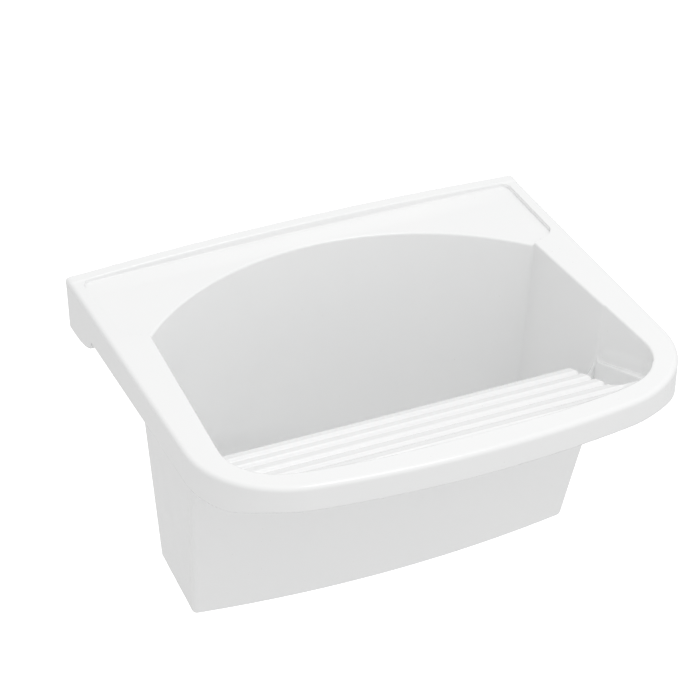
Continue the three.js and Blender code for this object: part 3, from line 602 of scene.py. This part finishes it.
def nut_shape(bore, corner, low, high, lip=None):
    """A hexagon nut with both rims chamfered; a lip (bore, top) narrows its lower end."""
    chamfer = 0.1 * corner
    inside = [(bore, high - 1), (bore + 1, high)]
    if lip:
        inside = [(lip[0], low), (lip[0], lip[1]), (bore, lip[1])] + inside
    else:
        inside = [(bore + 1, low), (bore, low + 1)] + inside
    outside = [
        (corner - chamfer, low), (corner, low + chamfer / 2),
        (corner, high - chamfer / 2), (corner - chamfer, high),
    ]
    return spun(rounded(outside + inside[::-1], 0.3), hexagon(corner - 0.02), segments=144)


def waste_tube():
    """Flange with a softened rim, plug seat, grate ledge and a threaded tube."""
    under = FLANGE_TOP - FLANGE_THICKNESS
    ledge = GRATE_TOP - GRATE_THICKNESS - GAP
    seat_foot = FLANGE_TOP - PLUG_SEAT_DEPTH
    outline = rounded([
        (TUBE_INNER, TUBE_END),
        (TUBE_RADIUS, TUBE_END),
        (TUBE_RADIUS, under),
        (FLANGE_RADIUS, under),
        (FLANGE_RADIUS, FLANGE_TOP - 1.2),
        (FLANGE_RADIUS - 3, FLANGE_TOP),
        (PLUG_SEAT, FLANGE_TOP),
        (PLUG_SEAT - PLUG_SEAT_TAPER, seat_foot),
        (TUBE_INNER, seat_foot - 1),
        (TUBE_INNER, ledge),
        (TUBE_INNER - GRATE_LEDGE, ledge),
        (TUBE_INNER - GRATE_LEDGE, ledge - 2),
        (TUBE_INNER, ledge - 2 - GRATE_LEDGE),
    ], 0.7)
    return spun(outline, thread=(TUBE_RADIUS, TUBE_PITCH, THREAD_DEPTH, TUBE_END + 1, UNDERSIDE - 2))


def grate_disk(x, y, z):
    """Signed distance to the grate: a disk less one middle hole and six round it."""
    faces = np.abs(z - GRATE_TOP + GRATE_THICKNESS / 2) - GRATE_THICKNESS / 2
    disk = both(np.hypot(x, y) - TUBE_INNER + GAP, faces, GRATE_EDGE)
    hole = np.hypot(x, y) - GRATE_HOLE
    for turn in [k * math.pi / 3 for k in range(6)]:
        hole_x, hole_y = GRATE_HOLE_CIRCLE * math.cos(turn), GRATE_HOLE_CIRCLE * math.sin(turn)
        hole = np.minimum(hole, np.hypot(x - hole_x, y - hole_y) - GRATE_HOLE)
    return both(disk, -hole, GRATE_EDGE)


def grate_shape():
    """The grate's disk, meshed by surface nets and settled on the exact surface."""
    across = spaced((-TUBE_INNER - 1, TUBE_INNER + 1, 0.45))
    up = spaced((GRATE_TOP - GRATE_THICKNESS - 1, GRATE_TOP + 1, 0.3))
    points, quads = surface_nets(grate_disk, across, across, up)
    return settled(grate_disk, points, 3, 0.2), quads


def plug_shape():
    """Tapered stopper: a rim with a raised edge, two sealing ribs and a slightly dished top."""
    foot = PLUG_TOP - PLUG_HEIGHT
    shoulder = FLANGE_TOP + GAP
    top_of_taper = PLUG_SEAT - 1.5 * GAP
    fall = shoulder - foot

    def taper(share, inset=0):
        return (top_of_taper - PLUG_SEAT_TAPER * share - inset, shoulder - fall * share)

    return spun(rounded([
        (0, foot), taper(1), taper(0.72), taper(0.66, 0.5), taper(0.6, 0.5), taper(0.54),
        taper(0.4), taper(0.34, 0.5), taper(0.28, 0.5), taper(0.22), taper(0),
        (PLUG_RIM, shoulder), (PLUG_RIM, PLUG_TOP), (PLUG_RIM - 3, PLUG_TOP),
        (PLUG_RIM - 3.8, PLUG_TOP - PLUG_DISH), (STAPLE_PLATE[0] + 3, PLUG_TOP - PLUG_DISH),
        (STAPLE_PLATE[0] + 2, PLUG_TOP), (0, PLUG_TOP),
    ], 0.5))


def staple_shape():
    """A wire loop that stands on a small round plate; the loop closes inside the plate."""
    radius, thickness = STAPLE_PLATE
    low = PLUG_TOP + GAP
    high = low + thickness
    plate = spun(rounded([(0, low), (radius, low), (radius, high), (0, high)], 0.35))
    turn = np.linspace(0, math.pi, 33)
    foot = low + thickness - STAPLE_WIRE / 2
    arch = np.stack([0 * turn, STAPLE_RADIUS * np.cos(turn), foot + STAPLE_RISE * np.sin(turn)], 1)
    lower = np.linspace(-1, 1, 9)[1:-1, None] * (0, STAPLE_RADIUS, 0) + (0, 0, foot)
    return joined(plate, drawn(np.concatenate([arch, lower]), (1, 0, 0), STAPLE_WIRE * 0.98))


def ring_shape():
    """The pull ring: it turns about its own near side inside the staple and leans on the plug."""
    lean = math.asin((RING_PIVOT - PLUG_TOP - RING_WIRE - GAP) / (2 * RING_RADIUS))
    turn = np.linspace(0, 2 * math.pi, 128, endpoint=False)
    out = RING_RADIUS * (np.sin(turn) - 1)
    rise = RING_PIVOT + out * math.sin(lean)
    path = np.stack([RING_RADIUS * np.cos(turn), out * math.cos(lean), rise], 1)
    return drawn(path, (0, -math.sin(lean), math.cos(lean)), RING_WIRE)


def screw_shape():
    """Coach screw: pointed shank with a coarse thread and a chamfered hexagon head."""
    low, high = SCREW_HEAD
    shank = rounded([
        (0, SCREW_END), (SCREW_RADIUS, SCREW_END + SCREW_TIP), (SCREW_RADIUS, low + 1), (0, low + 1),
    ], 0.3)
    thread = (SCREW_RADIUS, SCREW_PITCH, SCREW_THREAD, SCREW_END + SCREW_TIP, SCREW_THREAD_TOP)
    corner = SCREW_HEAD_CORNER
    head = rounded([
        (0, low), (corner - 0.7, low), (corner, low + 0.4),
        (corner, high - 0.8), (corner - 1.5, high), (0, high),
    ], 0.2)
    return joined(spun(shank, thread=thread, segments=48), spun(head, hexagon(corner), segments=96))


def bush_shape():
    """A flanged sleeve for the screw."""
    bore = SCREW_RADIUS + GAP
    sleeve = BOLT_HOLE - GAP
    low, high = BUSH_FLANGE
    return spun(rounded([
        (bore, GAP), (sleeve, GAP), (sleeve, low),
        (BUSH_FLANGE_RADIUS, low), (BUSH_FLANGE_RADIUS, high), (bore, high),
    ], 0.4))


def cap_shape():
    """A snap-on cap with a softly domed face and a thin wall."""
    low, high = CAP
    inner = CAP_RADIUS - CAP_WALL
    return spun(rounded([
        (inner, low), (CAP_RADIUS, low), (CAP_RADIUS, high - 3), (CAP_RADIUS - 3, high - 0.3), (0, high),
        (0, high - CAP_WALL), (inner - 2.5, high - CAP_WALL - 0.3), (inner, high - 3.5),
    ], 1.2, 6))


# ------------------------------------------------------------------ materials


def new_material(name):
    """An empty node material with its output and a Principled shader joined."""
    material = bpy.data.materials.new(name)
    material.use_nodes = True
    nodes = material.node_tree.nodes
    nodes.clear()
    shader = nodes.new("ShaderNodeBsdfPrincipled")
    output = nodes.new("ShaderNodeOutputMaterial")
    material.node_tree.links.new(shader.outputs["BSDF"], output.inputs["Surface"])
    return material, shader


def node_group(name, inputs, outputs):
    """An empty shader node group with float, colour or vector sockets."""
    group = bpy.data.node_groups.new(name, "ShaderNodeTree")
    for label, kind, value in inputs:
        group.interface.new_socket(label, in_out="INPUT", socket_type=kind).default_value = value
    for label, kind in outputs:
        group.interface.new_socket(label, in_out="OUTPUT", socket_type=kind)
    return group, group.nodes.new("NodeGroupInput"), group.nodes.new("NodeGroupOutput")


def noise_in(tree, scale, detail, rough=0.5):
    """A noise texture on the object's own coordinates."""
    place = tree.nodes.new("ShaderNodeTexCoord")
    noise = tree.nodes.new("ShaderNodeTexNoise")
    noise.inputs["Detail"].default_value = detail
    noise.inputs["Roughness"].default_value = rough
    if isinstance(scale, (int, float)):
        noise.inputs["Scale"].default_value = scale
    else:
        tree.links.new(scale, noise.inputs["Scale"])
    tree.links.new(place.outputs["Object"], noise.inputs["Vector"])
    return noise


def uneven_group():
    """Cloudy unevenness: soft noise stretched to a mask between 0 and 1."""
    group, given, result = node_group(
        "cloudy_mask", [("Scale", "NodeSocketFloat", 20.0)], [("Mask", "NodeSocketFloat")])
    noise = noise_in(group, given.outputs["Scale"], 4)
    stretch = group.nodes.new("ShaderNodeMapRange")
    stretch.inputs["From Min"].default_value = 0.3
    stretch.inputs["From Max"].default_value = 0.7
    group.links.new(noise.outputs["Fac"], stretch.inputs["Value"])
    group.links.new(stretch.outputs["Result"], result.inputs["Mask"])
    return group


def grain_group():
    """Surface relief: fine noise over slow waves, as a normal."""
    group, given, result = node_group(
        "fine_relief",
        [("Fine Scale", "NodeSocketFloat", 800.0), ("Fine Depth", "NodeSocketFloat", 0.00002),
         ("Wave Scale", "NodeSocketFloat", 20.0), ("Wave Depth", "NodeSocketFloat", 0.0001)],
        [("Normal", "NodeSocketVector")])
    normal = None
    for kind, detail in (("Wave", 1), ("Fine", 3)):
        noise = noise_in(group, given.outputs[kind + " Scale"], detail)
        bump = group.nodes.new("ShaderNodeBump")
        bump.inputs["Strength"].default_value = 1
        group.links.new(noise.outputs["Fac"], bump.inputs["Height"])
        group.links.new(given.outputs[kind + " Depth"], bump.inputs["Distance"])
        if normal:
            group.links.new(normal, bump.inputs["Normal"])
        normal = bump.outputs["Normal"]
    group.links.new(normal, result.inputs["Normal"])
    return group


def speck_group():
    """Scattered round specks: nearest-point cells whose centre is closer than the given size and
    whose random tint passes a threshold."""
    group, given, result = node_group(
        "specks",
        [("Scale", "NodeSocketFloat", 150.0), ("Size", "NodeSocketFloat", 0.1),
         ("Share", "NodeSocketFloat", 0.2)],
        [("Mask", "NodeSocketFloat")])
    place = group.nodes.new("ShaderNodeTexCoord")
    cells = group.nodes.new("ShaderNodeTexVoronoi")
    near = group.nodes.new("ShaderNodeMath")
    near.operation = "LESS_THAN"
    split = group.nodes.new("ShaderNodeSeparateColor")
    picked = group.nodes.new("ShaderNodeMath")
    picked.operation = "LESS_THAN"
    spot = group.nodes.new("ShaderNodeMath")
    spot.operation = "MULTIPLY"
    link = group.links.new
    link(place.outputs["Object"], cells.inputs["Vector"])
    link(given.outputs["Scale"], cells.inputs["Scale"])
    link(cells.outputs["Distance"], near.inputs[0])
    link(given.outputs["Size"], near.inputs[1])
    link(cells.outputs["Color"], split.inputs["Color"])
    link(split.outputs["Red"], picked.inputs[0])
    link(given.outputs["Share"], picked.inputs[1])
    link(near.outputs[0], spot.inputs[0])
    link(picked.outputs[0], spot.inputs[1])
    link(spot.outputs[0], result.inputs["Mask"])
    return group


CLOUDY = uneven_group()
RELIEF = grain_group()
SPECKS = speck_group()


def grouped(material, group, **values):
    """A group node in a material with its inputs set."""
    node = material.node_tree.nodes.new("ShaderNodeGroup")
    node.node_tree = group
    for label, value in values.items():
        node.inputs[label.replace("_", " ")].default_value = value
    return node


def blended(material, mask, low, high):
    """A colour between two by a mask."""
    mix = material.node_tree.nodes.new("ShaderNodeMix")
    mix.data_type = "RGBA"
    mix.inputs["A"].default_value = (*low, 1)
    mix.inputs["B"].default_value = (*high, 1)
    material.node_tree.links.new(mask, mix.inputs["Factor"])
    return mix


def ranged(material, mask, low, high):
    """A value between two by a mask."""
    spread = material.node_tree.nodes.new("ShaderNodeMapRange")
    spread.inputs["To Min"].default_value = low
    spread.inputs["To Max"].default_value = high
    material.node_tree.links.new(mask, spread.inputs["Value"])
    return spread.outputs["Result"]


def surface(name, colours, roughness, relief, clouds, specks=None):
    """A material whose colour and roughness drift between two values over clouds of a scale, with
    relief (fine scale, fine depth, wave scale, wave depth); specks (scale, size, share, colour)
    are laid over the colour."""
    material, shader = new_material(name)
    link = material.node_tree.links.new
    cloud = grouped(material, CLOUDY, Scale=clouds)
    colour = blended(material, cloud.outputs["Mask"], *colours).outputs["Result"]
    if specks:
        spots = grouped(material, SPECKS, Scale=specks[0], Size=specks[1], Share=specks[2])
        over = blended(material, spots.outputs["Mask"], colours[0], specks[3])
        link(colour, over.inputs["A"])
        colour = over.outputs["Result"]
    link(colour, shader.inputs["Base Color"])
    link(ranged(material, cloud.outputs["Mask"], *roughness), shader.inputs["Roughness"])
    fine_scale, fine_depth, wave_scale, wave_depth = relief
    grain = grouped(
        material, RELIEF,
        Fine_Scale=fine_scale, Fine_Depth=fine_depth, Wave_Scale=wave_scale, Wave_Depth=wave_depth)
    link(grain.outputs["Normal"], shader.inputs["Normal"])
    return material, shader


def china():
    """White vitreous glaze: nearly even colour, faint waves and orange peel, a few pinholes."""
    material, shader = surface(
        "glazed_china", ((0.926, 0.93, 0.93), (0.936, 0.938, 0.936)), (0.13, 0.19),
        (330, 0.000012, 14, 0.00035), 9, (260, 0.1, 0.012, (0.7, 0.69, 0.66)))
    shader.inputs["IOR"].default_value = 1.5
    return material


def chrome():
    """Polished plating with faint smears and hairlines."""
    material, shader = surface(
        "polished_chrome", ((0.8, 0.81, 0.82), (0.86, 0.865, 0.87)), (0.06, 0.2),
        (1800, 0.000002, 60, 0.00002), 70)
    shader.inputs["Metallic"].default_value = 1
    return material


def zinc():
    """Bright zinc plating: mottled spangle, satin."""
    material, shader = surface(
        "bright_zinc", ((0.52, 0.54, 0.57), (0.72, 0.73, 0.74)), (0.22, 0.42),
        (1500, 0.000008, 300, 0.00002), 420)
    shader.inputs["Metallic"].default_value = 1
    return material


def rubber():
    """Dark moulded rubber: matt, finely pitted, with pale bloom."""
    material, shader = surface(
        "black_rubber", ((0.022, 0.022, 0.024), (0.05, 0.05, 0.052)), (0.6, 0.85),
        (2600, 0.00003, 200, 0.00004), 130, (1400, 0.16, 0.1, (0.1, 0.1, 0.1)))
    shader.inputs["IOR"].default_value = 1.45
    return material


def white_plastic():
    """Satin white moulding with fine grain and faint flow marks."""
    material, shader = surface(
        "white_moulding", ((0.8, 0.8, 0.785), (0.86, 0.86, 0.85)), (0.32, 0.48),
        (2200, 0.00001, 120, 0.00004), 90)
    shader.inputs["Subsurface Weight"].default_value = 0.1
    shader.inputs["Subsurface Radius"].default_value = (0.002, 0.002, 0.0018)
    return material


def nylon():
    """Natural nylon: slightly yellow, waxy and translucent."""
    material, shader = surface(
        "natural_nylon", ((0.68, 0.67, 0.6), (0.75, 0.74, 0.69)), (0.35, 0.5),
        (1600, 0.00001, 100, 0.00003), 110)
    shader.inputs["Subsurface Weight"].default_value = 0.35
    shader.inputs["Subsurface Radius"].default_value = (0.003, 0.003, 0.0025)
    return material


# ------------------------------------------------------------------ assembly

MATERIALS = {
    "china": china(), "chrome": chrome(), "steel": zinc(), "rubber": rubber(),
    "white_plastic": white_plastic(), "nylon": nylon(),
}


def finished(piece, node, slot, body="basin"):
    """Gives a piece its material and its place in the frame."""
    piece.data.materials.append(MATERIALS[slot])
    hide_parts(node)
    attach(piece, body)


MERGE_DISTANCE = 1e-6
SHARP_ANGLE = math.radians(35)


def fitted(node, slot, shape, body="basin"):
    """A small piece from its points and faces: doubles merged, steep edges kept sharp."""
    piece = mesh_from(node + "_fine", *shape)
    shell = bmesh.new()
    shell.from_mesh(piece.data)
    bmesh.ops.remove_doubles(shell, verts=shell.verts, dist=MERGE_DISTANCE)
    shell.to_mesh(piece.data)
    shell.free()
    piece.data.set_sharp_from_angle(angle=SHARP_ANGLE)
    finished(piece, node, slot, body)


finished(basin_shell(), "basin_body", "china")

fitted("waste_body", "chrome", over_waste(waste_tube()))
gasket_top = FLANGE_TOP - FLANGE_THICKNESS - GAP
gasket = washer_shape(WASTE_HOLE + 1, FLANGE_RADIUS - 1, gasket_top - 2, gasket_top)
fitted("flange_gasket", "rubber", over_waste(gasket))
fitted("waste_grate", "chrome", over_waste(grate_shape()))
clear = TUBE_RADIUS + GAP
fitted("under_gasket", "rubber", over_waste(washer_shape(clear, GASKET_RADIUS, *UNDER_GASKET, 0.8)))
fitted("slip_washer", "white_plastic", over_waste(washer_shape(clear, GASKET_RADIUS, *SLIP_WASHER)))
fitted("back_nut", "white_plastic", over_waste(nut_shape(clear, BACK_NUT_CORNER, *BACK_NUT)))
fitted("tail_seal", "rubber", over_waste(washer_shape(TAIL_RADIUS + GAP, TUBE_RADIUS, *TAIL_SEAL, 0.6)))
lip = (TAIL_RADIUS + GAP, TAIL_SEAL[0] - GAP)
fitted("tail_nut", "white_plastic", over_waste(nut_shape(clear, TAIL_NUT_CORNER, *TAIL_NUT, lip)))
fitted("tail_pipe", "white_plastic", over_waste(washer_shape(TAIL_INNER, TAIL_RADIUS, *TAIL_PIPE)))
fitted("plug", "rubber", over_waste(plug_shape()), "plug")
fitted("plug_staple", "chrome", over_waste(staple_shape()), "plug")
fitted("pull_ring", "chrome", over_waste(ring_shape()), "ring")
for side, side_name in ((-1, "left"), (1, "right")):
    washer = washer_shape(SCREW_RADIUS + GAP, WASHER_RADIUS, *WASHER)
    fitted("wall_screw_" + side_name, "steel", on_wall(screw_shape(), side))
    fitted("screw_bush_" + side_name, "nylon", on_wall(bush_shape(), side))
    fitted("screw_washer_" + side_name, "steel", on_wall(washer, side))
    fitted("screw_cap_" + side_name, "white_plastic", on_wall(cap_shape(), side))

# ------------------------------------------------------------------ stage, light, camera

FLOOR_LEVEL = -0.85
FLOOR_REACH = 12
FLOOR_TONE = (0.8, 0.8, 0.8, 1)
FLOOR_SEEN_TONE = (0.5, 0.5, 0.5, 1)
FLOOR_SEEN_GLOW = 0.85
LAMP_PLACE = (0.5, -1.2, 2.8)
LAMP_SIZE = 1.2
LAMP_POWER = 15
CAMERA_PLACE = (-1.3205, -3.1122, 2.0469)
CAMERA_PITCH = math.radians(56.56)
CAMERA_YAW = math.radians(-24.16)
CAMERA_LENS = 164.57
CAMERA_SENSOR = 36


def pale_floor():
    """A pale floor: seen directly it is nearly white and keeps the object's shadow."""
    corners = [(x, y, FLOOR_LEVEL) for x, y in ((-1, -1), (1, -1), (1, 1), (-1, 1))]
    mesh = bpy.data.meshes.new("floor")
    mesh.from_pydata((np.array(corners) * (FLOOR_REACH, FLOOR_REACH, 1)).tolist(), [], [(0, 1, 2, 3)])
    floor = bpy.data.objects.new("floor", mesh)
    bpy.context.scene.collection.objects.link(floor)
    material = bpy.data.materials.new("pale_floor")
    material.use_nodes = True
    tree = material.node_tree
    tree.nodes.clear()
    rays = tree.nodes.new("ShaderNodeLightPath")
    seen = tree.nodes.new("ShaderNodeMath")
    seen.operation = "MAXIMUM"
    diffuse = tree.nodes.new("ShaderNodeBsdfDiffuse")
    diffuse.inputs["Color"].default_value = FLOOR_TONE
    seen_diffuse = tree.nodes.new("ShaderNodeBsdfDiffuse")
    seen_diffuse.inputs["Color"].default_value = FLOOR_SEEN_TONE
    glow = tree.nodes.new("ShaderNodeEmission")
    glow.inputs["Strength"].default_value = FLOOR_SEEN_GLOW
    bright = tree.nodes.new("ShaderNodeAddShader")
    chosen = tree.nodes.new("ShaderNodeMixShader")
    output = tree.nodes.new("ShaderNodeOutputMaterial")
    link = tree.links.new
    link(rays.outputs["Is Camera Ray"], seen.inputs[0])
    link(rays.outputs["Is Transmission Ray"], seen.inputs[1])
    link(seen_diffuse.outputs[0], bright.inputs[0])
    link(glow.outputs[0], bright.inputs[1])
    link(seen.outputs[0], chosen.inputs["Fac"])
    link(diffuse.outputs[0], chosen.inputs[1])
    link(bright.outputs[0], chosen.inputs[2])
    link(chosen.outputs[0], output.inputs["Surface"])
    mesh.materials.append(material)


def soft_lamp(name, place, size, power):
    """A large disk lamp at a place, turned to face the sink."""
    lamp = bpy.data.lights.new(name, "AREA")
    lamp.shape = "DISK"
    lamp.size = size
    lamp.energy = power
    holder = bpy.data.objects.new(name, lamp)
    holder.location = place
    towards = Vector((0, -RIM_DEPTH * MM / 2, -BOWL_HEIGHT * MM / 3)) - Vector(place)
    holder.rotation_euler = towards.to_track_quat("-Z", "Y").to_euler()
    bpy.context.scene.collection.objects.link(holder)


# brightness of the surroundings: everywhere, and added towards a direction, by its cosine
WORLD_EVEN = 0.56
WORLD_LOBES = {"up": ("Z", 1, 0.34), "right": ("X", 1, 0.12), "front": ("Y", -1, 0.2)}


def pale_world():
    """Surroundings whose brightness is an even part plus a cosine lobe towards some directions."""
    world = bpy.data.worlds.new("studio")
    bpy.context.scene.world = world
    world.use_nodes = True
    tree = world.node_tree
    place = tree.nodes.new("ShaderNodeTexCoord")
    split = tree.nodes.new("ShaderNodeSeparateXYZ")
    tree.links.new(place.outputs["Generated"], split.inputs["Vector"])
    total = None
    for name, (axis, sign, strength) in WORLD_LOBES.items():
        facing = tree.nodes.new("ShaderNodeMath")
        facing.operation = "MULTIPLY"
        facing.inputs[1].default_value = sign
        tree.links.new(split.outputs[axis], facing.inputs[0])
        kept = tree.nodes.new("ShaderNodeMath")
        kept.operation = "MAXIMUM"
        kept.inputs[1].default_value = 0
        tree.links.new(facing.outputs[0], kept.inputs[0])
        share = tree.nodes.new("ShaderNodeMath")
        share.name = name
        share.operation = "MULTIPLY_ADD"
        share.inputs[1].default_value = strength
        share.inputs[2].default_value = WORLD_EVEN
        tree.links.new(kept.outputs[0], share.inputs[0])
        if total:
            tree.links.new(total, share.inputs[2])
        total = share.outputs[0]
    background = tree.nodes["Background"]
    background.inputs["Color"].default_value = (1, 1, 1, 1)
    tree.links.new(total, background.inputs["Strength"])


def studio_light():
    """Pale surroundings and a large soft lamp."""
    pale_world()
    soft_lamp("lamp_over", LAMP_PLACE, LAMP_SIZE, LAMP_POWER)


def photo_camera():
    """The camera at the photograph's viewing angle."""
    camera = bpy.data.cameras.new("photo_camera")
    camera.sensor_width = CAMERA_SENSOR
    camera.lens = CAMERA_LENS
    camera_object = bpy.data.objects.new("photo_camera", camera)
    camera_object.location = CAMERA_PLACE
    camera_object.rotation_euler = (CAMERA_PITCH, 0, CAMERA_YAW)
    bpy.context.scene.collection.objects.link(camera_object)
    bpy.context.scene.camera = camera_object


pale_floor()
studio_light()
photo_camera()
bpy.context.scene.view_settings.view_transform = "Standard"
